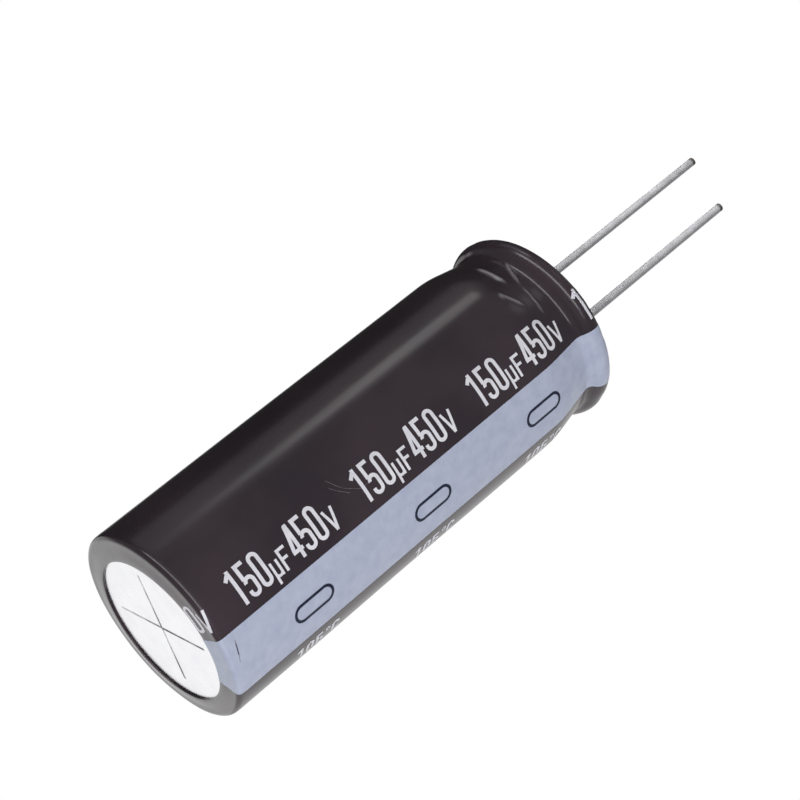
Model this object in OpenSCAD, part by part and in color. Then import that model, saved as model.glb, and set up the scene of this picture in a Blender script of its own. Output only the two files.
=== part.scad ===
// Radial electrolytic capacitor: a deep drawn aluminium can in a shrunk plastic sleeve, with the
// wound element, its stitched terminals and the rubber seal inside.
// It stands on the folded lip of its sleeve. The leads rise along +Z from the crimped mouth,
// the positive one on the +X side and the negative one on the -X side, under the marked stripe.

/* [Body] */
// Diameter of the bare aluminium can
can_d = 18; // [16:0.5:22]
// Length over the sleeve, from the standing lip to the top of the rolled mouth
body_l = 46.7; // [42:0.1:60]
// Wall of the can
can_wall = 0.4; // [0.3:0.05:0.5]
// Thickness of the can's base
base_t = 0.6; // [0.5:0.05:0.9]
// Outside rounding between the can's wall and its base
can_corner_r = 0.52; // [0.45:0.01:0.7]

/* [Pressure vent] */
// Length of each line of the scored cross
score_l = 11.4; // [8:0.2:12.5]
// Width of a score line at the face of the base
score_w = 0.34; // [0.2:0.02:0.6]
// Depth of a score line
score_depth = 0.3; // [0.15:0.05:0.4]
// Turn of the cross from the line through the two leads, in degrees
score_turn = -5.3; // [-45:0.1:45]

/* [Sleeve] */
// Thickness of the shrunk sleeve on the wall
sleeve_t = 0.2; // [0.12:0.02:0.26]
// Thickness of the sleeve where it has gathered under the base
lip_t = 0.28; // [0.2:0.02:0.4]
// Opening in the folded lip that bares the base
lip_bore_d = 13.8; // [12.5:0.1:14.5]
// Outside rounding of the sleeve at the base
sleeve_corner_r = 0.72; // [0.65:0.01:0.85]
// How far the sleeve laps over the rolled mouth, in degrees past its top
sleeve_lap = 34; // [10:1:60]

/* [Crimped mouth] */
// Depth of the bead that grips the rubber
bead_depth = 0.8; // [0.6:0.05:1]
// Radius of the bead's floor, over the sleeve
bead_r = 0.85; // [0.7:0.05:1]
// Length of the gentle taper that leads into the bead
taper_l = 4.2; // [3:0.1:5]
// Radius of the rolled rim, over the sleeve
rim_r = 1.15; // [1.1:0.05:1.3]
// How far the rim stands out past the straight wall
rim_flare = 0.1; // [0:0.05:0.25]
// How far the can's edge curls down into the rubber, in degrees past the rim's inner side
curl_bite = 24; // [10:1:40]

/* [Polarity stripe] */
// Width of the printed stripe around the wall
stripe_w = 6.25; // [4:0.05:8]
// Thickness of the print
print_t = 0.03; // [0.02:0.01:0.05]
// Overall length of a minus mark
mark_l = 4.4; // [3:0.1:6]
// Overall width of a minus mark
mark_w = 1.8; // [1.2:0.1:2.4]
// Width of a minus mark's outline
mark_line = 0.22; // [0.15:0.01:0.35]
// Height of the middle of the first minus mark
mark_z = 9.2; // [6:0.1:12]
// Distance from one minus mark to the next
mark_pitch = 14.1; // [12:0.1:15]

/* [Rubber seal] */
// Height of the rubber bung, up to its raised face
bung_l = 5.9; // [5.4:0.1:7]
// How far the bung's raised face lies below the top of the rolled mouth
bung_sink = 0.4; // [0.3:0.05:0.6]
// Diameter of the raised face inside the curled edge
face_d = 12.4; // [11.8:0.1:12.8]
// How far the raised face stands out of the bung's shoulder
face_rise = 0.3; // [0.2:0.05:0.5]
// Chamfer around the bung's inner face
bung_chamfer = 0.5; // [0.2:0.1:0.8]
// Diameter of the well around each lead
well_d = 3.4; // [3:0.1:4]
// Depth of the well around each lead
well_depth = 0.45; // [0.3:0.05:0.6]

/* [Terminals] */
// Distance between the two leads
lead_pitch = 7.5; // [6:0.5:8]
// Diameter of a lead
lead_d = 0.8; // [0.6:0.05:1]
// Length of the positive lead from the face of the bung
positive_l = 28; // [15:0.1:35]
// Length of the negative lead from the face of the bung
negative_l = 22.8; // [15:0.1:35]
// Chamfer at a lead's cut end
lead_chamfer = 0.06; // [0.02:0.02:0.1]
// Height of the weld between a lead and its stem
weld_h = 0.42; // [0.3:0.02:0.45]
// Diameter of the aluminium stem that passes through the bung
stem_d = 2.4; // [2:0.1:2.6]
// Length of the stem under the bung before it is pressed flat
stem_reach = 0.5; // [0.3:0.1:0.8]
// Height over which the stem is pressed flat
press_l = 1.2; // [0.8:0.1:1.6]
// Thickness of the flat tab
tab_t = 0.3; // [0.2:0.05:0.4]
// Width of the flat tab
tab_w = 3; // [2.6:0.1:3.4]
// Distance of the tab's lower end above the can's base
tab_end = 4; // [2:0.5:8]

/* [Wound element] */
// Gap between the wrapped element and the can
element_gap = 0.3; // [0.2:0.05:0.5]
// Space between the element and the bung
head_space = 3; // [2.6:0.1:4]
// Diameter of the hole left by the winding mandrel
mandrel_d = 3; // [2:0.5:3.5]
// Distance between the turns of paper that stand out at the ends
turn_pitch = 0.62; // [0.5:0.02:1]
// Width of the space between two turns of paper
turn_gap = 0.22; // [0.1:0.02:0.3]
// How far the paper stands past the foils
paper_margin = 1.2; // [0.8:0.1:2]
// Thickness of the tape around the element
tape_t = 0.1; // [0.05:0.01:0.15]
// Width of the tape around the element
tape_w = 24; // [12:1:28]

/* [Hidden] */
$fn = 96;

cut = 1;                                    // how far a cutting shape runs past what it cuts
sleeve_r = can_d/2 + sleeve_t;              // outside of the sleeve on its straight wall
can_in_r = can_d/2 - can_wall;              // inside of the can's wall
skin = sleeve_t + can_wall;                 // from the outside of the sleeve to the rubber

// The mouth is two circles that touch: the bead's floor and the rolled rim. Layers under the
// sleeve have a larger bead circle and a smaller rim circle, so the two touch in every layer.
bead_c = sleeve_r - bead_depth + bead_r;
rim_c = sleeve_r + rim_flare - rim_r;
rim_z = body_l - rim_r;
bead_z = rim_z - sqrt((bead_r + rim_r)^2 - (bead_c - rim_c)^2);

// The taper is a line from the wall that touches the bead's circle
taper_z = bead_z - taper_l;
taper_reach = norm([bead_c - sleeve_r, taper_l]);
taper_lean = asin(bead_r/taper_reach) - atan((bead_c - sleeve_r)/taper_l);

base_z = lip_t;                             // outside of the can's base
floor_z = base_z + base_t;                  // inside of the can's base
bung_face = body_l - bung_sink;
bung_top = bung_face - face_rise;           // the shoulder outside the raised face
bung_z = bung_face - bung_l;
stem_top = bung_face - well_depth;
press_z = bung_z - stem_reach;
blade_z = press_z - press_l;
element_top = bung_z - head_space;
element_r = can_in_r - element_gap - tape_t;
stripe_turn = stripe_w/sleeve_r*180/PI;     // degrees around the wall
first_turn = mandrel_d/2 + turn_pitch;
last_turn = element_r - turn_pitch;

// Everything inside one layer of the body: inset is the layer's distance from the outside of
// the sleeve, foot its lowest level and corner its rounding there.
module layer(inset, foot, corner) {
    wall = sleeve_r - inset;
    touch_z = bead_z - (bead_r + inset)*sin(taper_lean);
    difference() {
        union() {
            intersection() {
                union() {
                    translate([0, foot + corner]) square([wall, touch_z - foot - corner]);
                    translate([0, foot]) square([wall - corner, touch_z - foot]);
                    translate([wall - corner, foot + corner]) circle(corner);
                }
                taper_side(inset);
            }
            polygon([[0, touch_z], [bead_c, touch_z], [bead_c, bead_z], [rim_c, rim_z], [0, rim_z]]);
            translate([0, rim_z]) square([rim_c, rim_r - inset]);
            rim_disc(inset);
        }
        translate([bead_c, bead_z]) circle(bead_r + inset);
        translate([-2*sleeve_r, -cut]) square([2*sleeve_r, body_l + 2*cut]);
    }
}

// The side of the taper line that holds the body
module taper_side(inset)
    translate([sleeve_r, taper_z]) rotate(taper_lean)
        translate([-3*sleeve_r - inset, -2*body_l]) square([3*sleeve_r, 4*body_l]);

module rim_disc(inset) translate([rim_c, rim_z]) circle(rim_r - inset);

// The part of the rolled rim on its inner side, down to lap degrees past the top
module inner_roll(outer, inner, lap)
    intersection() {
        difference() {
            rim_disc(outer);
            rim_disc(inner);
        }
        translate([rim_c, rim_z])
            polygon([[0, 0], for (turn = [0 : lap/4 : lap]) 2*rim_r*[-sin(turn), cos(turn)]]);
    }

// A shell between two layers that runs out at the top of the rolled rim
module rolled_shell(outer, outer_foot, outer_corner, inner, inner_foot, inner_corner, lap) {
    intersection() {
        difference() {
            layer(outer, outer_foot, outer_corner);
            layer(inner, inner_foot, inner_corner);
        }
        union() {
            translate([0, -cut]) square([2*sleeve_r, rim_z + cut]);
            translate([rim_c, 0]) square([sleeve_r, body_l + cut]);
        }
    }
    inner_roll(outer, inner, lap);
}

// Section of the sleeve, or of its outermost part when it is given a smaller depth
module sleeve_section(depth, inner_foot, inner_corner)
    difference() {
        rolled_shell(0, 0, sleeve_corner_r, depth, inner_foot, inner_corner, sleeve_lap);
        translate([0, -cut]) square([lip_bore_d/2, lip_t + 2*cut]);
    }

module can_section()
    rolled_shell(sleeve_t, base_z, can_corner_r, skin, floor_z, can_corner_r - can_wall/2, 90 + curl_bite);

// Printed layer over the whole length, from one edge of the stripe to the other
module stripe_band()
    rotate([0, 0, 180 - stripe_turn/2]) rotate_extrude(angle = stripe_turn)
        sleeve_section(print_t, print_t, sleeve_corner_r - print_t);

// A long round-ended shape on the side of the stripe, grown or shrunk by spread
module pill(spread)
    for (end = [-1, 1]) {
        translate([0, end*(mark_l - mark_w)/2]) circle(mark_w/2 + spread);
        translate([-mark_w/2 - spread, -(mark_l - mark_w)/2]) square([mark_w + 2*spread, mark_l - mark_w]);
    }

module minus_marks()
    for (z = [mark_z : mark_pitch : taper_z])
        translate([0, 0, z]) rotate([90, 0, -90]) linear_extrude(2*sleeve_r)
            difference() {
                pill(0);
                pill(-mark_line);
            }

// One line of the scored cross, a vee cut upwards into the base
module score_line()
    rotate([90, 0, 90]) linear_extrude(score_l, center = true)
        polygon([[-score_w/2, base_z], [-score_w/2, base_z - cut], [score_w/2, base_z - cut],
                 [score_w/2, base_z], [0, base_z + score_depth]]);

module can()
    color("#d9dade") difference() {
        rotate_extrude() can_section();
        for (turn = [0, 90]) rotate([0, 0, score_turn + turn]) score_line();
    }

module shrink_sleeve()
    color("#2d272c") difference() {
        rotate_extrude() sleeve_section(sleeve_t, base_z, can_corner_r);
        stripe_band();
    }

module polarity_stripe()
    color("#b8bdd0") difference() {
        stripe_band();
        minus_marks();
    }

module stripe_marks()
    color("#20263c") intersection() {
        stripe_band();
        minus_marks();
    }

// Section of the bung: it fills the mouth from the wall inwards and takes the can's curled edge
module bung_section() {
    difference() {
        intersection() {
            layer(skin, floor_z, can_corner_r - can_wall/2);
            translate([0, bung_z]) square([sleeve_r, bung_top - bung_z]);
        }
        inner_roll(sleeve_t, skin, 90 + curl_bite);
        polygon([[sleeve_r, bung_z - cut], [sleeve_r, bung_z + sleeve_r - can_in_r + bung_chamfer],
                 [can_in_r - bung_chamfer - cut, bung_z - cut]]);
    }
    polygon([[0, bung_z + bung_l/2], [face_d/2 + face_rise, bung_z + bung_l/2],
             [face_d/2 + face_rise, bung_top], [face_d/2, bung_face], [0, bung_face]]);
}

module rubber_bung()
    color("#2b2b2d") difference() {
        rotate_extrude() bung_section();
        for (side = [-1, 1]) translate([side*lead_pitch/2, 0, 0]) {
            translate([0, 0, bung_z - cut]) cylinder(d = stem_d, h = bung_l + 2*cut);
            translate([0, 0, stem_top]) cylinder(d = well_d, h = well_depth + cut);
        }
    }

// Aluminium stem, pressed flat below the bung into the tab that is stitched to the foil
module stem() {
    translate([0, 0, press_z]) cylinder(d = stem_d, h = stem_top - press_z);
    intersection() {
        rotate([90, 0, 0]) linear_extrude(2*tab_w, center = true)
            polygon([[-stem_d/2, press_z], [-tab_t/2, blade_z], [tab_t/2, blade_z], [stem_d/2, press_z]]);
        rotate([90, 0, 90]) linear_extrude(2*stem_d, center = true)
            polygon([[-stem_d/2, press_z], [-tab_w/2, blade_z], [tab_w/2, blade_z], [stem_d/2, press_z]]);
    }
    translate([-tab_t/2, -tab_w/2, floor_z + tab_end]) cube([tab_t, tab_w, blade_z - floor_z - tab_end]);
}

module positive_stem() color("#c9cbd0") translate([lead_pitch/2, 0, 0]) stem();

module negative_stem() color("#c9cbd0") translate([-lead_pitch/2, 0, 0]) stem();

// Tinned lead with the flared weld that joins it to its stem
module lead(reach)
    translate([0, 0, stem_top]) rotate_extrude() {
        polygon([[0, 0], [lead_d/2, 0], [lead_d/2, well_depth + reach - lead_chamfer],
                 [lead_d/2 - lead_chamfer, well_depth + reach], [0, well_depth + reach]]);
        difference() {
            square([lead_d/2 + weld_h, weld_h]);
            translate([lead_d/2 + weld_h, weld_h]) circle(weld_h);
        }
    }

module positive_lead() color("#a9aaad") translate([lead_pitch/2, 0, 0]) lead(positive_l);

module negative_lead() color("#a9aaad") translate([-lead_pitch/2, 0, 0]) lead(negative_l);

// Foils and paper in one roll, with the paper's turns standing out at both ends
module wound_element()
    color("#c9b79a") difference() {
        translate([0, 0, floor_z]) cylinder(r = element_r, h = element_top - floor_z);
        translate([0, 0, floor_z - cut]) cylinder(d = mandrel_d, h = element_top - floor_z + 2*cut);
        for (end = [floor_z - cut, element_top - paper_margin], turn = [first_turn : turn_pitch : last_turn])
            translate([0, 0, end]) difference() {
                cylinder(r = turn + turn_gap/2, h = paper_margin + cut);
                translate([0, 0, -cut]) cylinder(r = turn - turn_gap/2, h = paper_margin + 3*cut);
            }
        for (side = [-1, 1])
            translate([side*lead_pitch/2 - tab_t/2, -tab_w/2, floor_z + tab_end])
                cube([tab_t, tab_w, element_top - floor_z]);
    }

module winding_tape()
    color("#d8c27a") translate([0, 0, (floor_z + element_top - tape_w)/2]) difference() {
        cylinder(r = element_r + tape_t, h = tape_w);
        translate([0, 0, -cut]) cylinder(r = element_r, h = tape_w + 2*cut);
    }

can();
shrink_sleeve();
polarity_stripe();
stripe_marks();
rubber_bung();
positive_stem();
negative_stem();
positive_lead();
negative_lead();
wound_element();
winding_tape();
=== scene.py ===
import bpy, bmesh, math, random
from mathutils import Matrix, Quaternion, Vector, noise


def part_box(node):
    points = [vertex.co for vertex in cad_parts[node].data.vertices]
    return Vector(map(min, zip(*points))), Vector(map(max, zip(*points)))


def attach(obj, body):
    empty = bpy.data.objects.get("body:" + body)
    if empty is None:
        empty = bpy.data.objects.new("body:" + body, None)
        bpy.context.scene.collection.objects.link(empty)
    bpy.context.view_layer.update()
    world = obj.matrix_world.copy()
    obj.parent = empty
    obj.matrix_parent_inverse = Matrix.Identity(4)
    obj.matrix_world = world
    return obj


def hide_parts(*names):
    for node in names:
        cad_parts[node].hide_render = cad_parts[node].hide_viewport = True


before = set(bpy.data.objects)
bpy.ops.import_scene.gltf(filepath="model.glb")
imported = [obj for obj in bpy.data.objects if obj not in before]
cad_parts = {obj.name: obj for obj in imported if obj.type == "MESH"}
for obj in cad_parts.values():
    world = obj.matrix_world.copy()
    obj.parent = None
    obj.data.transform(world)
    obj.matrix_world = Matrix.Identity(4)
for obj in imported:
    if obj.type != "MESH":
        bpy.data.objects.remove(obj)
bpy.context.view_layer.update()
mm = 0.001
scene = bpy.context.scene
print("frame loaded with", len(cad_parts), "nodes")

# The camera looks up at the bare base, from the side of the stripe
cameraPlan = {
    "location": (-122.843, 114.553, -58.064), "aim": (1.539, 1.696, 30.555),
    "roll": 51.12, "lens": 96.72, "sensor": 36, "clipStart": 0.01,
}


def placeCamera():
    data = bpy.data.cameras.new("camera")
    data.lens = cameraPlan["lens"]
    data.sensor_fit = "HORIZONTAL"
    data.sensor_width = cameraPlan["sensor"]
    data.clip_start = cameraPlan["clipStart"]
    camera = bpy.data.objects.new("camera", data)
    scene.collection.objects.link(camera)
    camera.location = Vector(cameraPlan["location"]) * mm
    sight = Vector(cameraPlan["aim"]) * mm - camera.location
    turn = Quaternion((0, 0, 1), math.radians(cameraPlan["roll"]))
    camera.rotation_mode = "QUATERNION"
    camera.rotation_quaternion = sight.to_track_quat("-Z", "Y") @ turn
    scene.camera = camera


def linearColour(hexValue):
    # The renderer's linear colour for an sRGB hex value
    parts = [int(hexValue[i:i + 2], 16) / 255 for i in (1, 3, 5)]
    return tuple(p / 12.92 if p <= 0.04045 else ((p + 0.055) / 1.055) ** 2.4 for p in parts) + (1.0,)


def addNode(tree, kind, settings=None, links=None):
    # A setting is a property of the node where it has one of that name, and else an input
    made = tree.nodes.new("ShaderNode" + kind)
    for key, value in (settings or {}).items():
        if isinstance(key, str) and hasattr(made, key):
            setattr(made, key, value)
        else:
            made.inputs[key].default_value = value
    for key, source in (links or {}).items():
        tree.links.new(source, made.inputs[key])
    return made


placeCamera()
print("camera placed")

# Materials: scales are one over the size of a grain or patch, so 1 / mm is a pattern of about 1 mm


def newMaterial(name, surfaceSettings):
    material = bpy.data.materials.new(name)
    material.use_nodes = True
    tree = material.node_tree
    tree.nodes.clear()
    surface = addNode(tree, "BsdfPrincipled", surfaceSettings)
    addNode(tree, "OutputMaterial", links={"Surface": surface.outputs["BSDF"]})
    place = addNode(tree, "TexCoord").outputs["Object"]
    return material, tree, surface, place


def blendColours(tree, factor, low, lowColour, high, highColour):
    ramp = addNode(tree, "ValToRGB", links={"Fac": factor})
    for element, place, colour in zip(ramp.color_ramp.elements, (low, high), (lowColour, highColour)):
        element.position = place
        element.color = linearColour(colour)
    return ramp.outputs["Color"]


def shrunkPvcFilm():
    # Heat-shrunk PVC: near black with a brown cast, glossy, with fine draw lines along the can; a pale
    # grey highlight is painted along its wrinkles
    material, tree, surface, place = newMaterial("shrunkPvcFilm", {
        "IOR": 1.54, "Coat Weight": 0.3, "Coat Roughness": 0.07})
    cloud = addNode(tree, "TexNoise", {"Scale": 0.09 / mm, "Detail": 3}, {"Vector": place})
    tint = blendColours(tree, cloud.outputs["Fac"], 0.36, "#312930", 0.68, "#40353b")
    # Painted highlight: along the wrinkles the film's colour is mixed towards pale grey
    highlightShare = addNode(tree, "Attribute", {"attribute_name": "wrinkleHighlight"}).outputs["Fac"]
    highlighted = addNode(tree, "Mix", {"data_type": "RGBA", 7: linearColour("#a29da3")},
                       {0: highlightShare, 6: tint})
    tree.links.new(highlighted.outputs[2], surface.inputs["Base Color"])
    drawn = addNode(tree, "Mapping", {"Scale": (1, 1, 0.05)}, {"Vector": place})
    streak = addNode(tree, "TexNoise", {"Scale": 2 / mm, "Detail": 3}, {"Vector": drawn.outputs["Vector"]})
    rough = addNode(tree, "MapRange", {"To Min": 0.17, "To Max": 0.29}, {"Value": streak.outputs["Fac"]})
    tree.links.new(rough.outputs["Result"], surface.inputs["Roughness"])
    peel = addNode(tree, "TexNoise", {"Scale": 1.4 / mm, "Detail": 2}, {"Vector": place})
    lines = addNode(tree, "Bump", {"Strength": 0.4, "Distance": 0.01 * mm},
                    {"Height": streak.outputs["Fac"]})
    skin = addNode(tree, "Bump", {"Strength": 0.25, "Distance": 0.008 * mm},
                   {"Height": peel.outputs["Fac"], "Normal": lines.outputs["Normal"]})
    tree.links.new(skin.outputs["Normal"], surface.inputs["Normal"])
    return material


def scratchedPvc():
    # The film's skin where it is scratched: a torn, matt, paler grey that breaks the gloss
    material, tree, surface, place = newMaterial("scratchedPvc", {"IOR": 1.54, "Roughness": 0.6})
    torn = addNode(tree, "TexNoise", {"Scale": 3 / mm, "Detail": 3}, {"Vector": place})
    tree.links.new(blendColours(tree, torn.outputs["Fac"], 0.35, "#453c43", 0.65, "#736a70"),
                   surface.inputs["Base Color"])
    skin = addNode(tree, "Bump", {"Strength": 0.4, "Distance": 0.01 * mm}, {"Height": torn.outputs["Fac"]})
    tree.links.new(skin.outputs["Normal"], surface.inputs["Normal"])
    return material


def rolledInk(name, dark, pale):
    # Ink rolled on the film before it shrinks: satin, a little mottled where it lies thinner
    material, tree, surface, place = newMaterial(name, {"Coat Weight": 0.3, "Coat Roughness": 0.2})
    mottle = addNode(tree, "TexNoise", {"Scale": 0.9 / mm, "Detail": 5, "Roughness": 0.65},
                     {"Vector": place})
    tree.links.new(blendColours(tree, mottle.outputs["Fac"], 0.3, dark, 0.7, pale),
                   surface.inputs["Base Color"])
    grain = addNode(tree, "TexNoise", {"Scale": 5 / mm, "Detail": 2}, {"Vector": place})
    rough = addNode(tree, "MapRange", {"To Min": 0.38, "To Max": 0.52}, {"Value": grain.outputs["Fac"]})
    tree.links.new(rough.outputs["Result"], surface.inputs["Roughness"])
    skin = addNode(tree, "Bump", {"Strength": 0.25, "Distance": 0.004 * mm},
                   {"Height": grain.outputs["Fac"]})
    tree.links.new(skin.outputs["Normal"], surface.inputs["Normal"])
    return material


def deepDrawnAluminium():
    # Deep drawn and washed aluminium: pale, softly matt, with cloudy patches and fine rings
    material, tree, surface, place = newMaterial("deepDrawnAluminium", {"Metallic": 1.0})
    patches = addNode(tree, "TexNoise", {"Scale": 0.35 / mm, "Detail": 5, "Roughness": 0.6},
                      {"Vector": place})
    tree.links.new(blendColours(tree, patches.outputs["Fac"], 0.3, "#e6e6ea", 0.7, "#f5f5f6"),
                   surface.inputs["Base Color"])
    rough = addNode(tree, "MapRange", {"To Min": 0.2, "To Max": 0.34}, {"Value": patches.outputs["Fac"]})
    tree.links.new(rough.outputs["Result"], surface.inputs["Roughness"])
    rings = addNode(tree, "TexWave", {"wave_type": "RINGS", "rings_direction": "Z", "Scale": 0.9 / mm,
                                      "Distortion": 1.2, "Detail": 3}, {"Vector": place})
    fine = addNode(tree, "Bump", {"Strength": 0.2, "Distance": 0.004 * mm},
                   {"Height": rings.outputs["Fac"]})
    dents = addNode(tree, "Bump", {"Strength": 0.35, "Distance": 0.03 * mm},
                    {"Height": patches.outputs["Fac"], "Normal": fine.outputs["Normal"]})
    tree.links.new(dents.outputs["Normal"], surface.inputs["Normal"])
    return material


def coinedAluminium():
    # The floor of the pressed vent lines: dull and a little grey, a painted shade for the dark lines that
    # the grooves show
    material, tree, surface, place = newMaterial("coinedAluminium", {"Metallic": 0.3})
    # Painted shade in the grooves: patches run from grey to nearly white
    grooveShade = addNode(tree, "TexNoise", {"Scale": 0.3 / mm, "Detail": 4}, {"Vector": place})
    tree.links.new(blendColours(tree, grooveShade.outputs["Fac"], 0.42, "#8d8d92", 0.6, "#efeff1"),
                   surface.inputs["Base Color"])
    drag = addNode(tree, "TexNoise", {"Scale": 4 / mm, "Detail": 3}, {"Vector": place})
    rough = addNode(tree, "MapRange", {"To Min": 0.4, "To Max": 0.6}, {"Value": drag.outputs["Fac"]})
    tree.links.new(rough.outputs["Result"], surface.inputs["Roughness"])
    skin = addNode(tree, "Bump", {"Strength": 0.4, "Distance": 0.02 * mm}, {"Height": drag.outputs["Fac"]})
    tree.links.new(skin.outputs["Normal"], surface.inputs["Normal"])
    return material


def tinnedSteelWire():
    # Hot tinned wire, drawn through a die: mid grey with fine lines along it and a dull oxide skin
    material, tree, surface, place = newMaterial("tinnedSteelWire", {"Metallic": 0.35})
    patches = addNode(tree, "TexNoise", {"Scale": 1.2 / mm, "Detail": 4}, {"Vector": place})
    tree.links.new(blendColours(tree, patches.outputs["Fac"], 0.3, "#9b9b9e", 0.7, "#b0b0b3"),
                   surface.inputs["Base Color"])
    rough = addNode(tree, "MapRange", {"To Min": 0.36, "To Max": 0.5}, {"Value": patches.outputs["Fac"]})
    tree.links.new(rough.outputs["Result"], surface.inputs["Roughness"])
    along = addNode(tree, "Mapping", {"Scale": (1, 1, 0.03)}, {"Vector": place})
    lines = addNode(tree, "TexNoise", {"Scale": 3 / mm, "Detail": 1}, {"Vector": along.outputs["Vector"]})
    drawn = addNode(tree, "Bump", {"Strength": 0.1, "Distance": 0.002 * mm},
                    {"Height": lines.outputs["Fac"]})
    tree.links.new(drawn.outputs["Normal"], surface.inputs["Normal"])
    return material


def shearedWireEnd():
    # The end that the cutter left bare of tin: dark steel, torn rough
    material, tree, surface, place = newMaterial("shearedWireEnd", {"Metallic": 0.4, "Roughness": 0.6})
    torn = addNode(tree, "TexNoise", {"Scale": 7 / mm, "Detail": 4}, {"Vector": place})
    tree.links.new(blendColours(tree, torn.outputs["Fac"], 0.35, "#3c3a3a", 0.7, "#7b7470"),
                   surface.inputs["Base Color"])
    burr = addNode(tree, "Bump", {"Strength": 0.5, "Distance": 0.03 * mm}, {"Height": torn.outputs["Fac"]})
    tree.links.new(burr.outputs["Normal"], surface.inputs["Normal"])
    return material


def mouldedButylRubber():
    # Moulded butyl rubber: matt charcoal with a fine grain and a little grey bloom
    material, tree, surface, place = newMaterial("mouldedButylRubber", {"Specular IOR Level": 0.4})
    bloom = addNode(tree, "TexNoise", {"Scale": 0.6 / mm, "Detail": 5, "Roughness": 0.65},
                    {"Vector": place})
    tree.links.new(blendColours(tree, bloom.outputs["Fac"], 0.35, "#252527", 0.75, "#39393c"),
                   surface.inputs["Base Color"])
    grain = addNode(tree, "TexNoise", {"Scale": 6 / mm, "Detail": 3}, {"Vector": place})
    rough = addNode(tree, "MapRange", {"To Min": 0.58, "To Max": 0.8}, {"Value": grain.outputs["Fac"]})
    tree.links.new(rough.outputs["Result"], surface.inputs["Roughness"])
    skin = addNode(tree, "Bump", {"Strength": 0.5, "Distance": 0.02 * mm},
                   {"Height": grain.outputs["Fac"]})
    tree.links.new(skin.outputs["Normal"], surface.inputs["Normal"])
    return material


def pressedAluminium():
    # Soft aluminium rod, drawn and pressed flat at its end: bright, with scuffs along it
    material, tree, surface, place = newMaterial("pressedAluminium", {"Metallic": 1.0})
    along = addNode(tree, "Mapping", {"Scale": (1, 1, 0.1)}, {"Vector": place})
    scuffs = addNode(tree, "TexNoise", {"Scale": 3 / mm, "Detail": 4}, {"Vector": along.outputs["Vector"]})
    tree.links.new(blendColours(tree, scuffs.outputs["Fac"], 0.3, "#c4c6cb", 0.7, "#dedfe2"),
                   surface.inputs["Base Color"])
    rough = addNode(tree, "MapRange", {"To Min": 0.25, "To Max": 0.45}, {"Value": scuffs.outputs["Fac"]})
    tree.links.new(rough.outputs["Result"], surface.inputs["Roughness"])
    skin = addNode(tree, "Bump", {"Strength": 0.3, "Distance": 0.01 * mm},
                   {"Height": scuffs.outputs["Fac"]})
    tree.links.new(skin.outputs["Normal"], surface.inputs["Normal"])
    return material


def soakedKraftPaper():
    # Kraft paper soaked with electrolyte: warm tan with darker wet fibres
    material, tree, surface, place = newMaterial("soakedKraftPaper", {"IOR": 1.5})
    around = addNode(tree, "Mapping", {"Scale": (1, 1, 0.35)}, {"Vector": place})
    fibres = addNode(tree, "TexNoise", {"Scale": 2.2 / mm, "Detail": 6, "Roughness": 0.7},
                     {"Vector": around.outputs["Vector"]})
    tree.links.new(blendColours(tree, fibres.outputs["Fac"], 0.3, "#b39a72", 0.7, "#d2bf9c"),
                   surface.inputs["Base Color"])
    rough = addNode(tree, "MapRange", {"To Min": 0.45, "To Max": 0.75}, {"Value": fibres.outputs["Fac"]})
    tree.links.new(rough.outputs["Result"], surface.inputs["Roughness"])
    skin = addNode(tree, "Bump", {"Strength": 0.4, "Distance": 0.03 * mm},
                   {"Height": fibres.outputs["Fac"]})
    tree.links.new(skin.outputs["Normal"], surface.inputs["Normal"])
    return material


def polypropyleneTape():
    # Adhesive polypropylene tape: clear honey colour, glossy, with small bubbles under it
    material, tree, surface, place = newMaterial("polypropyleneTape", {"IOR": 1.49, "Roughness": 0.2})
    bubbles = addNode(tree, "TexVoronoi", {"Scale": 1.1 / mm}, {"Vector": place})
    tree.links.new(blendColours(tree, bubbles.outputs["Distance"], 0.1, "#e3cf8e", 0.45, "#cfb56b"),
                   surface.inputs["Base Color"])
    skin = addNode(tree, "Bump", {"Strength": 0.25, "Distance": 0.02 * mm},
                   {"Height": bubbles.outputs["Distance"]})
    tree.links.new(skin.outputs["Normal"], surface.inputs["Normal"])
    return material


filmMaterial = shrunkPvcFilm()
stripeMaterial = rolledInk("stripeInk", "#abb2ca", "#bac1d5")
ratingMaterial = rolledInk("ratingInk", "#dbdae4", "#ecebf1")
markMaterial = rolledInk("markInk", "#151b31", "#20273f")
canMaterial = deepDrawnAluminium()
scoreMaterial = coinedAluminium()
wireMaterial = tinnedSteelWire()
wireEndMaterial = shearedWireEnd()
print("materials made")

# Sections are drawn in millimetres: distance from the axis, then height

mouth = {
    "beadDepth": 0.8, "beadRadius": 0.85, "taperLength": 4.2, "taperEase": 9,
    "rimRadius": 1.15, "rimFlare": 0.1,
}
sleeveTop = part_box("shrink_sleeve")[1] / mm
wallRadius = sleeveTop.x - mouth["rimFlare"]
rimCentre = Vector((sleeveTop.x - mouth["rimRadius"], sleeveTop.z - mouth["rimRadius"]))
beadAcross = wallRadius - mouth["beadDepth"] + mouth["beadRadius"]
beadCentre = Vector((beadAcross, rimCentre.y - math.sqrt(
    (mouth["beadRadius"] + mouth["rimRadius"]) ** 2 - (beadAcross - rimCentre.x) ** 2)))
taperStart = beadCentre.y - mouth["taperLength"]
pastWall = beadAcross - wallRadius
lean = (math.asin(mouth["beadRadius"] / math.hypot(pastWall, mouth["taperLength"]))
        - math.atan(pastWall / mouth["taperLength"]))
towardsRim = math.atan2(rimCentre.y - beadCentre.y, rimCentre.x - beadCentre.x)


def ray(angle):
    return Vector((math.cos(angle), math.sin(angle)))


def straight(start, end, steps):
    # Each part of a section is a length, a number of steps, and a function that gives the point and
    # the outward direction at a distance along the part
    along = (end - start).normalized()
    return {"length": (end - start).length, "steps": steps,
            "at": lambda d: (start + along * d, Vector((along.y, -along.x)))}


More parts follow.
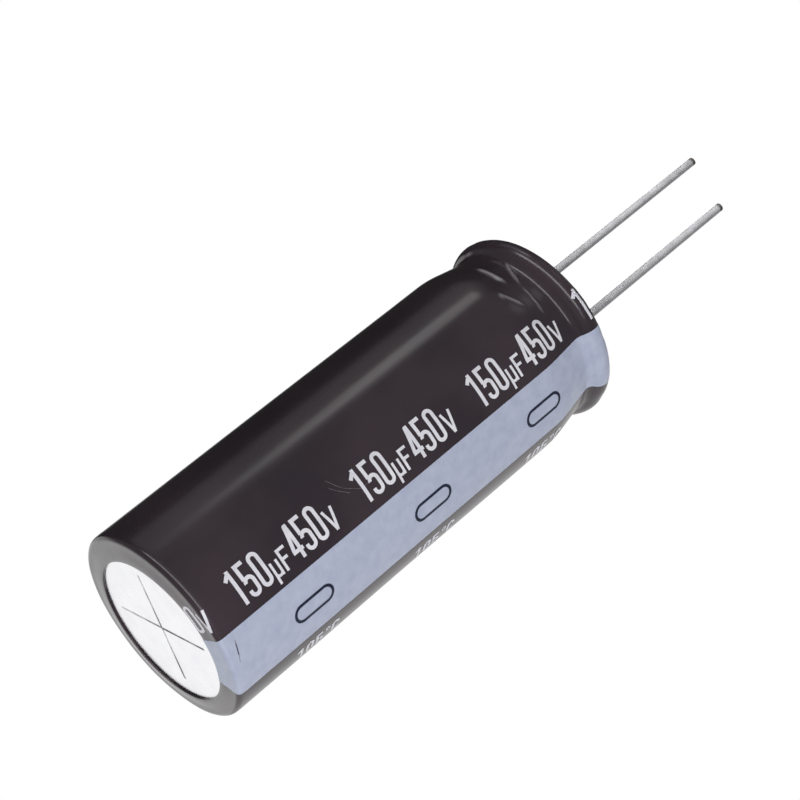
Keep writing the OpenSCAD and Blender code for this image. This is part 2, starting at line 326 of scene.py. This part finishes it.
def bend(centre, radius, start, end, steps):
    side = math.copysign(1, end - start)

    def at(distance):
        spoke = ray(start + side * distance / radius)
        return centre + spoke * radius, spoke * side

    return {"length": radius * abs(end - start), "steps": steps, "at": at}


def bodySection(inset, foot, corner, inner, lap):
    # The outline at one depth under the film: from the base at radius inner, over its corner, the wall,
    # the taper, the bead and the rim, to lap degrees past the rim's top
    closeTop = 2.4  # Below it the wall's rings lie closer
    wall = wallRadius - inset
    ease = mouth["taperEase"] - inset
    easeCentre = Vector((wall - ease, taperStart - mouth["taperEase"] * math.tan(lean / 2)))
    beadRadius = mouth["beadRadius"] + inset
    return [
        straight(Vector((inner, foot)), Vector((wall - corner, foot)), 6),
        bend(Vector((wall - corner, foot + corner)), corner, -math.pi / 2, 0, 10),
        straight(Vector((wall, foot + corner)), Vector((wall, closeTop)), 10),
        straight(Vector((wall, closeTop)), Vector((wall, easeCentre.y)), 12),
        bend(easeCentre, ease, 0, lean, 4),
        straight(easeCentre + ray(lean) * ease, beadCentre - ray(lean) * beadRadius, 20),
        bend(beadCentre, beadRadius, math.pi + lean, towardsRim, 18),
        bend(rimCentre, mouth["rimRadius"] - inset, towardsRim - math.pi, math.radians(90 + lap), 28),
    ]


def stopsAlong(section, start=0):
    # Distances along a section at which it gets a ring
    stops = [start]
    for part in section:
        stops += [start + part["length"] * (k + 1) / part["steps"] for k in range(part["steps"])]
        start += part["length"]
    return stops


def pointAlong(section, distance):
    for part in section[:-1]:
        if distance <= part["length"]:
            return part["at"](distance)
        distance -= part["length"]
    return section[-1]["at"](distance)


def smoothStep(low, high, x):
    # Rises from 0 at low to 1 at high; low may be the larger
    t = min(max((x - low) / (high - low), 0), 1)
    return t * t * (3 - 2 * t)


# The film is drawn flat in millimetres and then rolled round the can: x runs along the can and
# equals the height on its wall, y runs around it from the middle of the stripe

film = {
    "thick": 0.2, "lipBore": 6.9, "corner": 0.48, "lap": 34, "columns": 400,
    "edgeBevel": 0.06, "highlightHeight": 0.08,  # A wrinkle this high gets the full painted highlight
}
filmSection = bodySection(0, 0, film["corner"], film["lipBore"], film["lap"])
filmStart = film["corner"] - filmSection[0]["length"] - filmSection[1]["length"]
filmStops = stopsAlong(filmSection, filmStart)
halfRound = math.pi * wallRadius

# Soft folds where the film shrank over the bead and the rim; a pair is the range of a random draw
folds = {
    "seed": 11, "count": 30, "from": 42.5, "depth": 0.05, "share": (-1, 0.8), "slant": (-0.05, 0.05),
    "width": (0.05, 0.12), "middle": (43.6, 47.2), "reach": (0.8, 2.0),
}
random.seed(folds["seed"])
creases = [{
    "turn": random.uniform(-math.pi, math.pi), "slant": random.uniform(*folds["slant"]),
    "width": random.uniform(*folds["width"]), "depth": folds["depth"] * random.uniform(*folds["share"]),
    "middle": random.uniform(*folds["middle"]), "reach": random.uniform(*folds["reach"]),
} for _ in range(folds["count"])]

# Slow waves all over the film, finer ones on its lip, and the lip's slight dome
waves = {
    "sway": 0.03, "swayAround": 1.6, "swayAlong": 0.07,
    "lip": 0.012, "lipAround": 4, "lipAlong": 0.5, "lipDome": 0.1,
}

# Sharp wrinkles, each from one place to another: angle around the can and place along the film
wrinkles = [
    {"from": (1.45, 42.1), "to": (1.88, 42.1), "width": 0.2, "height": 0.1},
    {"from": (1.88, 40.2), "to": (2.2, 41.45), "width": 0.18, "height": 0.07},
    {"from": (1.62, 44.3), "to": (1.98, 42.95), "width": 0.13, "height": 0.07},
    {"from": (1.98, 42.95), "to": (2.38, 42.45), "width": 0.13, "height": 0.06},
    {"from": (-1.1, 41.6), "to": (-0.6, 42.6), "width": 0.2, "height": 0.05},
    {"from": (0.2, 42.4), "to": (0.55, 41.2), "width": 0.22, "height": 0.05},
    {"from": (-2.3, 43.2), "to": (-1.9, 42.3), "width": 0.2, "height": 0.05},
]


def wrinkleAt(wrinkle, x, turn):
    # How high one wrinkle stands there; it runs a tenth past both ends and fades out
    start, end = (Vector((wrinkle[key][0] * wallRadius, wrinkle[key][1])) for key in ("from", "to"))
    along = end - start
    place = Vector((turn * wallRadius, x)) - start
    t = place.dot(along) / along.length_squared
    if not -0.1 < t < 1.1:
        return 0
    across = (place - along * t).length / wrinkle["width"]
    ends = smoothStep(-0.1, 0.25, t) * smoothStep(1.1, 0.75, t)
    return wrinkle["height"] * math.exp(-across * across) * ends


def creaseAt(x, turn):
    # All wrinkles together; none reaches 3 mm along the film
    return sum(wrinkleAt(wrinkle, x, turn) for wrinkle in wrinkles if abs(x - wrinkle["from"][1]) < 3)


def unevenness(x, turn):
    # How far the shrunk film stands off its even shape
    around = Vector((math.cos(turn), math.sin(turn), 0))
    swayPlace = around * waves["swayAround"] + Vector((0, 0, x * waves["swayAlong"]))
    lipPlace = around * waves["lipAround"] + Vector((0, 0, x * waves["lipAlong"]))
    lift = waves["sway"] * noise.noise(swayPlace)
    lift += waves["lip"] * smoothStep(2, 0.2, x) * noise.noise(lipPlace)  # From 2 mm up down to the lip
    lift -= waves["lipDome"] * smoothStep(-2.1, -0.4, x) * smoothStep(0.8, -0.3, x)  # Most at the corner
    lift += creaseAt(x, turn)
    near = smoothStep(folds["from"] - 1.5, folds["from"] + 1, x)
    if near:
        for crease in creases:
            off = turn - crease["turn"] - crease["slant"] * (x - 45)
            across = ((off + math.pi) % (2 * math.pi) - math.pi) / crease["width"]
            if abs(across) < 3:  # Three widths away it is gone
                up = (x - crease["middle"]) / crease["reach"]
                lift += near * crease["depth"] * math.exp(-across * across - up * up)
    return lift


# The film's cut edge under the base is wider than its even bore, off centre and a little oval
lipEdge = {
    "wider": 0.18, "shift": 0.33, "shiftTurn": 290, "oval": 0.12, "ovalTurn": 130, "easeFrom": -0.4,
}


def lipReach(x, turn):
    # How far the lip is drawn back there, from the whole of it at the cut edge to none at the corner
    back = lipEdge["wider"] + lipEdge["shift"] * math.cos(turn - math.radians(lipEdge["shiftTurn"]))
    back += lipEdge["oval"] * math.cos(2 * (turn - math.radians(lipEdge["ovalTurn"])))
    return back * smoothStep(lipEdge["easeFrom"], filmStart, x)


def onFilm(x, y, lift=0):
    # The place of a point of the flat film on the can; nothing goes further under the base than its lift
    turn = math.remainder(math.pi - y / wallRadius, 2 * math.pi)
    point, outwards = pointAlong(filmSection, max(x - filmStart, 0))
    point = point + outwards * (lift + unevenness(x, turn)) + Vector((lipReach(x, turn), 0))
    return Vector((point.x * math.cos(turn), point.x * math.sin(turn), max(point.y, -lift)))


def rollOn(bm, lift=0):
    for vert in bm.verts:
        vert.co = onFilm(vert.co.x, vert.co.y, lift + vert.co.z)


def newPiece(name, bm, materials, sharpAngle=40):
    # Makes the object in metres; edges sharper than sharpAngle degrees stay sharp
    bmesh.ops.scale(bm, vec=(mm, mm, mm), verts=bm.verts)
    mesh = bpy.data.meshes.new(name)
    bm.to_mesh(mesh)
    bm.free()
    mesh.polygons.foreach_set("use_smooth", [True] * len(mesh.polygons))
    mesh.set_sharp_from_angle(angle=math.radians(sharpAngle))
    for material in materials:
        mesh.materials.append(material)
    piece = bpy.data.objects.new(name, mesh)
    scene.collection.objects.link(piece)
    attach(piece, "root")
    print(name, "has", len(mesh.polygons), "faces")
    return piece


def flatFilm(low, high, rows):
    # A flat stretch of film between two places around the can, with a row at each of the film's stops
    bm = bmesh.new()
    bmesh.ops.create_grid(bm, x_segments=len(filmStops) - 1, y_segments=rows, size=1)
    for vert in bm.verts:
        column = round((vert.co.x + 1) / 2 * (len(filmStops) - 1))
        vert.co = (filmStops[column], low + (high - low) * (vert.co.y + 1) / 2, 0)
    return bm


def makeSleeve():
    bm = flatFilm(-halfRound, halfRound, film["columns"])
    # Painted highlight along the wrinkles: the higher a wrinkle stands at a vertex, the paler the film is
    # painted there
    wrinkleHighlight = bm.verts.layers.float.new("wrinkleHighlight")
    for vert in bm.verts:
        crease = creaseAt(vert.co.x, math.remainder(math.pi - vert.co.y / wallRadius, 2 * math.pi))
        vert[wrinkleHighlight] = min(max(crease / film["highlightHeight"], 0), 1) ** 2
    rollOn(bm)
    bmesh.ops.remove_doubles(bm, verts=bm.verts[:], dist=0.001)
    bmesh.ops.solidify(bm, geom=bm.faces[:], thickness=film["thick"])
    # The cut edge has two rims, whose edges run level, and both are rounded
    cut = {v for v in bm.verts if v.co.xy.length - lipReach(filmStart, math.atan2(v.co.y, v.co.x))
           < film["lipBore"] + 0.01}
    rims = [e for e in bm.edges if cut.issuperset(e.verts)
            and abs(e.verts[0].co.z - e.verts[1].co.z) < film["thick"] / 3]
    bmesh.ops.bevel(bm, geom=rims, offset=film["edgeBevel"], segments=3, profile=0.5, affect="EDGES",
                    material=-1)
    piece = newPiece("shrinkSleeve", bm, [filmMaterial])
    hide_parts("shrink_sleeve")


makeSleeve()
print("sleeve made")

# Print

stripe = {"width": 6.25, "rows": 48, "lift": 0.012}


def makeStripe():
    bm = flatFilm(-stripe["width"] / 2, stripe["width"] / 2, stripe["rows"])
    rollOn(bm, stripe["lift"])
    piece = newPiece("polarityStripe", bm, [stripeMaterial])
    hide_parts("polarity_stripe")


makeStripe()

# The pen draws a ribbon: each stroke starts at a point with a heading, and each step is a length
# straight on, or a radius and an angle, which turns left where it is positive. A later stroke of the
# same print lies a little higher, so that two never share a plane where they cross


def penStroke(bm, start, heading, steps, width):
    at = Vector((start[0], start[1], 0))
    heading = math.radians(heading)
    side = Vector((-math.sin(heading), math.cos(heading), 0)) * width / 2
    ends = [bm.verts.new(at + side), bm.verts.new(at - side)]
    geom = ends + [bm.edges.new(ends)]
    made = list(ends)
    for step in steps:
        ahead = Vector((math.cos(heading), math.sin(heading), 0))
        left = Vector((-ahead.y, ahead.x, 0))
        if isinstance(step, tuple):
            radius, angle = step[0], math.radians(step[1])
            centre = at + left * math.copysign(radius, angle)
            pieces = max(3, round(abs(step[1]) / 9))  # One for every 9 degrees
            spun = bmesh.ops.spin(bm, geom=geom, cent=centre, axis=(0, 0, 1), angle=angle, steps=pieces,
                                  use_merge=False)
            at = centre + Matrix.Rotation(angle, 3, "Z") @ (at - centre)
            heading += angle
        else:
            spun = bmesh.ops.spin(bm, geom=geom, axis=(0, 0, 1), dvec=ahead * step, angle=0, steps=1,
                                  use_merge=False)
            at = at + ahead * step
        geom = spun["geom_last"]
        made += [g for g in geom if isinstance(g, bmesh.types.BMVert)]
    return made


def glyphStrokes(sign, wide, tall, pen):
    # Strokes of one sign in a box of that size, by the middle of the pen
    left, right, low, high = pen / 2, wide - pen / 2, pen / 2, tall - pen / 2
    bow = (wide - pen) / 2
    upright = tall - pen - 2 * bow
    belly = tall * 0.6 - pen / 2 - bow
    slope = math.degrees(math.atan2(tall * 0.7, wide * 0.5))
    veeLean = math.degrees(math.atan2(tall, wide / 2 - pen / 2))
    return {
        "0": [((left, tall / 2), 90, [upright / 2, (bow, -180), upright, (bow, -180), upright / 2])],
        "1": [((wide * 0.62, 0), 90, [tall]),
              ((wide * 0.12, high - tall * 0.17), 42, [wide * 0.55])],
        "4": [((wide * 0.7, 0), 90, [tall]),
              ((0, tall * 0.25), 0, [wide]),
              ((wide * 0.14, tall * 0.27), slope, [tall * 0.7 / math.sin(math.radians(slope))])],
        "5": [((right, high), 180, [wide - 1.5 * pen]),
              ((left, tall), 270, [tall * 0.47]),
              ((left, belly), 90, [(bow, -180), belly - low - bow, (bow, -180), tall * 0.05])],
        "C": [((right, tall - low - bow - tall * 0.06), 90,
               [tall * 0.06, (bow, 180), upright, (bow, 180), tall * 0.06])],
        "F": [((left, 0), 90, [tall]), ((0, high), 0, [wide]), ((0, tall * 0.53), 0, [wide * 0.82])],
        "V": [((left, tall), -veeLean, [tall / math.sin(math.radians(veeLean))]),
              ((right, tall), veeLean - 180, [tall / math.sin(math.radians(veeLean))])],
        "µ": [((left, -tall * 0.36), 90, [tall * 1.36]), ((right, tall), 270, [tall]),
              ((left, low + bow), 270, [(bow, 180)])],
        "°": [((left, tall - low - bow), 90, [(bow, -360)])],
    }[sign]


def printText(bm, signs, x, y):
    # Each sign is its letter, width, height, pen width and the space after it
    for sign, wide, tall, pen, space in signs:
        for order, (start, heading, steps) in enumerate(glyphStrokes(sign, wide, tall, pen)):
            made = penStroke(bm, (x + start[0], y + start[1]), heading, steps, pen)
            bmesh.ops.translate(bm, vec=(0, 0, order * rating["strokeLift"]), verts=made)
        x += wide + space


def cutToFilm(bm):
    # Cuts flat print off where the film is cut, and divides it at the film's own rings and at every
    # third column, so that it rolls on as the film does
    bm.normal_update()
    bmesh.ops.reverse_faces(bm, faces=[f for f in bm.faces if f.normal.z < 0])
    for edge, outwards in ((filmStops[0], -1), (filmStops[-1], 1)):
        bmesh.ops.bisect_plane(bm, geom=bm.verts[:] + bm.edges[:] + bm.faces[:], dist=1e-5,
                               plane_co=(edge, 0, 0), plane_no=(outwards, 0, 0), clear_outer=True)
    reach = [vert.co.x for vert in bm.verts]
    for stop in filmStops[1:-1]:
        if min(reach) < stop < max(reach):
            bmesh.ops.bisect_plane(bm, geom=bm.verts[:] + bm.edges[:] + bm.faces[:], dist=1e-5,
                                   plane_co=(stop, 0, 0), plane_no=(1, 0, 0))
    spacing = 3 * 2 * halfRound / film["columns"]
    reach = [vert.co.y for vert in bm.verts]
    for k in range(math.ceil(min(reach) / spacing), math.floor(max(reach) / spacing) + 1):
        bmesh.ops.bisect_plane(bm, geom=bm.verts[:] + bm.edges[:] + bm.faces[:], dist=1e-5,
                               plane_co=(0, k * spacing, 0), plane_no=(0, 1, 0))


marks = {
    "length": 4.4, "width": 1.8, "line": 0.28, "first": 9.2, "pitch": 14.1, "count": 3, "lift": 0.024,
}


def makeMinusMarks():
    bm = bmesh.new()
    bow = (marks["width"] - marks["line"]) / 2
    run = marks["length"] - marks["width"]
    for k in range(marks["count"]):
        start = (marks["first"] + k * marks["pitch"] - run / 2, -bow)
        penStroke(bm, start, 0, [run, (bow, 180), run, (bow, 180)], marks["line"])
    bmesh.ops.remove_doubles(bm, verts=bm.verts[:], dist=0.001)
    cutToFilm(bm)
    rollOn(bm, marks["lift"])
    piece = newPiece("minusMarks", bm, [markMaterial])
    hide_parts("stripe_marks")


makeMinusMarks()

# Each kind of sign has a width, a height, a pen width and the space after it
rating = {
    "first": 3.25, "pitch": 14.1, "copies": range(-1, 4), "baseline": 4.0, "lift": 0.014,
    "strokeLift": 0.002,
    "figure": (1.12, 3.17, 0.34, 0.2), "unit": (0.86, 1.45, 0.24, 0.24), "farad": (0.92, 2.0, 0.26, 0.3),
    "volt": (1.2, 2.0, 0.26, 0.3), "smallFirst": 6.7, "smallBaseline": -5.85,
    "small": (0.9, 1.7, 0.3, 0.2), "smallRing": (0.55, 1.7, 0.17, 0.2),
}


def makeRatings():
    bm = bmesh.new()
    line = [("1",) + rating["figure"], ("5",) + rating["figure"], ("0",) + rating["figure"],
            ("µ",) + rating["unit"], ("F",) + rating["farad"],
            ("4",) + rating["figure"], ("5",) + rating["figure"], ("0",) + rating["figure"],
            ("V",) + rating["volt"]]
    small = [("1",) + rating["small"], ("0",) + rating["small"], ("5",) + rating["small"],
             ("°",) + rating["smallRing"], ("C",) + rating["small"]]
    for k in rating["copies"]:
        printText(bm, line, rating["first"] + k * rating["pitch"], rating["baseline"])
        printText(bm, small, rating["smallFirst"] + k * rating["pitch"], rating["smallBaseline"])
    cutToFilm(bm)
    rollOn(bm, rating["lift"])
    newPiece("ratingPrint", bm, [ratingMaterial])


makeRatings()
print("print made")

# Scratches from handling, drawn with the same pen: place, heading, steps and width
filmScratches = {"lift": 0.006, "strokeLift": 0.0005, "strokes": [
    ((15.7, 7.75), -62, [0.9, (2.5, 25), 0.8, (1.2, 35), 0.7], 0.05),
    ((15.5, 7.1), -55, [(6, 12), 0.6], 0.05),
    ((27.5, -12.4), 70, [1.6, (3, 20)], 0.05),
    ((11.3, -19.5), 200, [(9, 14), 0.8], 0.05),
    ((33.8, 19.2), 110, [1.2, (4, 18), 0.4], 0.05),
    ((8.1, 23.5), 40, [(7, 16)], 0.05),
    ((30.4, -22.0), 20, [2.2], 0.04),
]}
# Where the ink is cut through, the dark film shows
inkScratches = {"lift": 0.02, "strokeLift": 0.0005, "strokes": [
    ((1.4, 2.4), -96, [(12, -10)], 0.035),
    ((1.33, 2.1), -98, [(12, -5)], 0.08),
]}


def makeScratches(name, plan, material):
    bm = bmesh.new()
    for order, (start, heading, steps, width) in enumerate(plan["strokes"]):
        made = penStroke(bm, start, heading, steps, width)
        bmesh.ops.translate(bm, vec=(0, 0, order * plan["strokeLift"]), verts=made)
    cutToFilm(bm)
    rollOn(bm, plan["lift"])
    newPiece(name, bm, [material])


makeScratches("filmScratches", filmScratches, scratchedPvc())
makeScratches("inkScratches", inkScratches, filmMaterial)
print("scratches made")

# Can, wires and the pieces that keep their solids

# scoreDepths has each arm's angle from scoreTurn and its depth; the flat disc that is scored ends
# scoreRoom short of the wall
can = {
    "wall": 0.4, "base": 0.6, "corner": 0.28, "curl": 114, "columns": 192, "sharpAngle": 11,
    "scoreLength": 11.4, "scoreWidth": 0.26, "scoreTurn": -5.3, "scoreRoom": 1.5,
    "scoreDepths": {0: 0.03, 90: 0.06, 180: 0.14, 270: 0.3},
}


def sectionWire(bm, points):
    # A chain of vertices through the points of a section, in the plane y = 0
    last = bm.verts.new((points[0][0], 0, points[0][1]))
    for across, up in points[1:]:
        last = bmesh.ops.extrude_vert_indiv(bm, verts=[last])["verts"][0]
        last.co = (across, 0, up)


def spinRound(bm, steps):
    # Turns the chain into a closed shell
    bmesh.ops.spin(bm, geom=bm.verts[:] + bm.edges[:], axis=(0, 0, 1), angle=2 * math.pi, steps=steps,
                   use_merge=True)
    bmesh.ops.remove_doubles(bm, verts=bm.verts[:], dist=1e-4)
    bmesh.ops.recalc_face_normals(bm, faces=bm.faces[:])


def scoreBase(bm, baseHeight):
    # Presses the cross into the outside of the base: vees that run out at their ends, and each of the
    # four arms has its own depth. The flat rings of the base become one face first, which is then cut
    half = can["scoreWidth"] / 2
    reach = can["scoreLength"] / 2
    flat = [f for f in bm.faces if abs(f.calc_center_median().z - baseHeight) < 1e-4
            and f.calc_center_median().xy.length < wallRadius - can["scoreRoom"]]
    bmesh.ops.dissolve_faces(bm, faces=flat)
    disc = max(bm.faces, key=lambda f: f.calc_area())
    region = [disc] + list(disc.edges) + list(disc.verts)
    for turn in (can["scoreTurn"], can["scoreTurn"] + 90):
        along = Vector((math.cos(math.radians(turn)), math.sin(math.radians(turn)), 0))
        across = Vector((-along.y, along.x, 0))
        cuts = [(across, d) for d in (-half, 0, half)]
        cuts += [(along, d) for d in (-reach, half - reach, reach - half, reach)]
        for normal, distance in cuts:
            place = Vector((0, 0, baseHeight)) + normal * distance
            region = bmesh.ops.bisect_plane(bm, geom=region, dist=1e-5, plane_co=place,
                                            plane_no=normal)["geom"]
    for vert in {v for v in region if isinstance(v, bmesh.types.BMVert)}:
        for turn, depth in can["scoreDepths"].items():
            turn = math.radians(turn + can["scoreTurn"])
            along = Vector((math.cos(turn), math.sin(turn), 0))
            across = Vector((-along.y, along.x, 0))
            if abs(vert.co.dot(across)) < 1e-3 and -1e-3 < vert.co.dot(along) < reach - half / 2:
                vert.co.z = max(vert.co.z, baseHeight + depth)
    # Pressed faces take the grooves' material, with its painted shade
    for face in {f for f in region if isinstance(f, bmesh.types.BMFace) and f.is_valid}:
        pressed = max(v.co.z for v in face.verts) > baseHeight + 0.01
        face.material_index = int(pressed)


def makeCan():
    # The section goes out along the outside and back along the inside
    bm = bmesh.new()
    outside = bodySection(film["thick"], film["thick"], can["corner"], 0, can["curl"])
    inside = bodySection(film["thick"] + can["wall"], film["thick"] + can["base"],
                         can["corner"] - can["wall"] / 2, 0, can["curl"])
    points = [pointAlong(outside, d)[0] for d in stopsAlong(outside)]
    points += [pointAlong(inside, d)[0] for d in stopsAlong(inside)][::-1]
    sectionWire(bm, points)
    spinRound(bm, can["columns"])
    scoreBase(bm, film["thick"])
    piece = newPiece("aluminiumCan", bm, [canMaterial, scoreMaterial],
                     can["sharpAngle"])
    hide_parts("can")


makeCan()
print("can made")

wire = {"radius": 0.4, "weld": 0.42, "tip": 0.06, "bare": 0.4, "columns": 64}


def makeLead(name, node):
    # The wire flares into its weld on the stem, and its last stretch is bare of tin
    low, high = (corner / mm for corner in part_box(node))
    middle = (low.x + high.x) / 2
    radius, weld, tip = wire["radius"], wire["weld"], wire["tip"]
    flareCentre = Vector((radius + weld, low.z + weld))
    tipCentre = Vector((radius - tip, high.z - tip))
    flare = [flareCentre + ray(math.radians(a)) * weld for a in range(270, 179, -9)]
    end = [tipCentre + ray(math.radians(a)) * tip for a in range(0, 91, 15)]
    bare = Vector((radius, high.z - wire["bare"]))
    bm = bmesh.new()
    sectionWire(bm, [(0, low.z)] + flare + [bare] + end + [(0, high.z)])
    spinRound(bm, wire["columns"])
    for face in bm.faces:
        face.material_index = int(face.calc_center_median().z > bare.y)
    bmesh.ops.translate(bm, vec=(middle, 0, 0), verts=bm.verts)
    piece = newPiece(name, bm, [wireMaterial, wireEndMaterial])
    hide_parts(node)


makeLead("positiveLead", "positive_lead")
makeLead("negativeLead", "negative_lead")
print("leads made")

# These keep the meshes of their solids
dressing = {
    "rubber_bung": mouldedButylRubber(),
    "positive_stem": pressedAluminium(),
    "negative_stem": pressedAluminium(),
    "wound_element": soakedKraftPaper(),
    "winding_tape": polypropyleneTape(),
}
for name, material in dressing.items():
    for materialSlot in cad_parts[name].material_slots:
        materialSlot.material = material
print("solids dressed")

# Light, floor and background

studio = {
    "diffuse": 0.36, "shine": 0.15,
    "floorSize": 4, "floorDrop": 0.03, "floorPaint": 0.86, "floorGlow": 0.6,
}
# What shines in glossy surfaces, round boards and soft boxes, each over the ones before it:
# azimuth, elevation, inner and outer angle, strength
softBoxes = [
    (20, 28, 34, 52, 0.02), (285, 5, 46.5, 50, 0.7), (318, -44, 8, 30, 0.85),
    (340, -14, 15.5, 21, 0.8), (318, -14, 15.5, 21, 1.1),
    (52, 28, 2, 22, 0.3), (66, 29, 0.5, 8, 2.1), (104, 52, 2, 8, 0.6),
    *((azimuth, -2, 2, 8, 4) for azimuth in range(70, 160, 7)),
]

# Sizes and distances of lamps are in metres, and each is aimed at a height in mm on the can's axis
keyLamp = {"size": 0.2, "power": 0.42, "azimuth": 168, "elevation": -30, "distance": 0.25, "height": 30}
fillLamp = {"size": 1.2, "power": 12, "azimuth": 322, "elevation": 35, "distance": 1.9, "height": 30}
wireSpot = {
    "size": 0.01, "power": 3.2, "azimuth": 80, "elevation": 15, "distance": 0.2, "height": 64,
    "cone": 8.6, "blend": 0.2,
}


def direction(azimuth, elevation):
    a = math.radians(azimuth)
    e = math.radians(elevation)
    return Vector((math.cos(a) * math.cos(e), math.sin(a) * math.cos(e), math.sin(e)))


def placeLamp(data, plan):
    lamp = bpy.data.objects.new(data.name, data)
    scene.collection.objects.link(lamp)
    target = Vector((0, 0, plan["height"] * mm))
    lamp.location = target + direction(plan["azimuth"], plan["elevation"]) * plan["distance"]
    lamp.rotation_mode = "QUATERNION"
    lamp.rotation_quaternion = (target - lamp.location).to_track_quat("-Z", "Y")
    lamp.visible_glossy = False


def softLamp(name, plan):
    data = bpy.data.lights.new(name, "AREA")
    data.size = plan["size"]
    data.energy = plan["power"]
    placeLamp(data, plan)


def leadSpot():
    # A narrow spot that falls on the wires alone
    data = bpy.data.lights.new("leadSpot", "SPOT")
    data.energy = wireSpot["power"]
    data.spot_size = math.radians(wireSpot["cone"])
    data.spot_blend = wireSpot["blend"]
    data.shadow_soft_size = wireSpot["size"]
    placeLamp(data, wireSpot)


def makeWorld():
    # White to the camera, the soft boxes to glossy rays, and an even light to all others
    world = bpy.data.worlds.new("studio")
    scene.world = world
    world.use_nodes = True
    tree = world.node_tree
    tree.nodes.clear()
    path = addNode(tree, "LightPath")
    place = addNode(tree, "TexCoord").outputs["Generated"]
    room = addNode(tree, "Value")
    room.outputs[0].default_value = studio["shine"]
    shine = room.outputs[0]
    for azimuth, elevation, inner, outer, strength in softBoxes:
        near = addNode(tree, "VectorMath", {"operation": "DOT_PRODUCT", 1: direction(azimuth, elevation)},
                       {0: place})
        glow = addNode(tree, "MapRange", {
            "interpolation_type": "SMOOTHSTEP", "From Min": math.cos(math.radians(outer)),
            "From Max": math.cos(math.radians(inner))}, {"Value": near.outputs["Value"]})
        shine = addNode(tree, "Mix", {3: strength}, {0: glow.outputs["Result"], 2: shine}).outputs[0]
    white = addNode(tree, "Background", {"Color": (1, 1, 1, 1), "Strength": 1})
    mirrored = addNode(tree, "Background", {"Color": (1, 1, 1, 1)}, {"Strength": shine})
    plain = addNode(tree, "Background", {"Color": (1, 1, 1, 1), "Strength": studio["diffuse"]})
    shiny = addNode(tree, "Math", {"operation": "MAXIMUM"},
                    {0: path.outputs["Is Glossy Ray"], 1: path.outputs["Is Transmission Ray"]})
    lighting = addNode(tree, "MixShader", links={
        "Fac": shiny.outputs[0], 1: plain.outputs[0], 2: mirrored.outputs[0]})
    seen = addNode(tree, "MixShader", links={
        "Fac": path.outputs["Is Camera Ray"], 1: lighting.outputs[0], 2: white.outputs[0]})
    addNode(tree, "OutputWorld", links={"Surface": seen.outputs[0]})


def makeFloor():
    # Seen from above it is a white table; from below, and for light, it isn't there
    bm = bmesh.new()
    bmesh.ops.create_grid(bm, x_segments=1, y_segments=1, size=studio["floorSize"] / 2)
    bmesh.ops.translate(bm, vec=(0, 0, -studio["floorDrop"] * mm), verts=bm.verts)
    mesh = bpy.data.meshes.new("floor")
    bm.to_mesh(mesh)
    bm.free()
    floor = bpy.data.objects.new("floor", mesh)
    scene.collection.objects.link(floor)
    material = bpy.data.materials.new("floorPaint")
    material.use_nodes = True
    tree = material.node_tree
    tree.nodes.clear()
    path = addNode(tree, "LightPath")
    geometry = addNode(tree, "NewGeometry")
    paint = addNode(tree, "BsdfDiffuse", {"Color": (studio["floorPaint"],) * 3 + (1,)})
    glow = addNode(tree, "Emission", {"Strength": studio["floorGlow"]})
    seen = addNode(tree, "AddShader", links={0: paint.outputs[0], 1: glow.outputs[0]})
    clear = addNode(tree, "BsdfTransparent")
    front = addNode(tree, "Math", {"operation": "SUBTRACT", "use_clamp": True},
                    {0: path.outputs["Is Camera Ray"], 1: geometry.outputs["Backfacing"]})
    shown = addNode(tree, "MixShader", links={
        "Fac": front.outputs[0], 1: clear.outputs[0], 2: seen.outputs[0]})
    addNode(tree, "OutputMaterial", links={"Surface": shown.outputs[0]})
    mesh.materials.append(material)


makeWorld()
makeFloor()
softLamp("keyLamp", keyLamp)
softLamp("fillLamp", fillLamp)
leadSpot()
scene.view_settings.view_transform = "Standard"
print("studio lit")
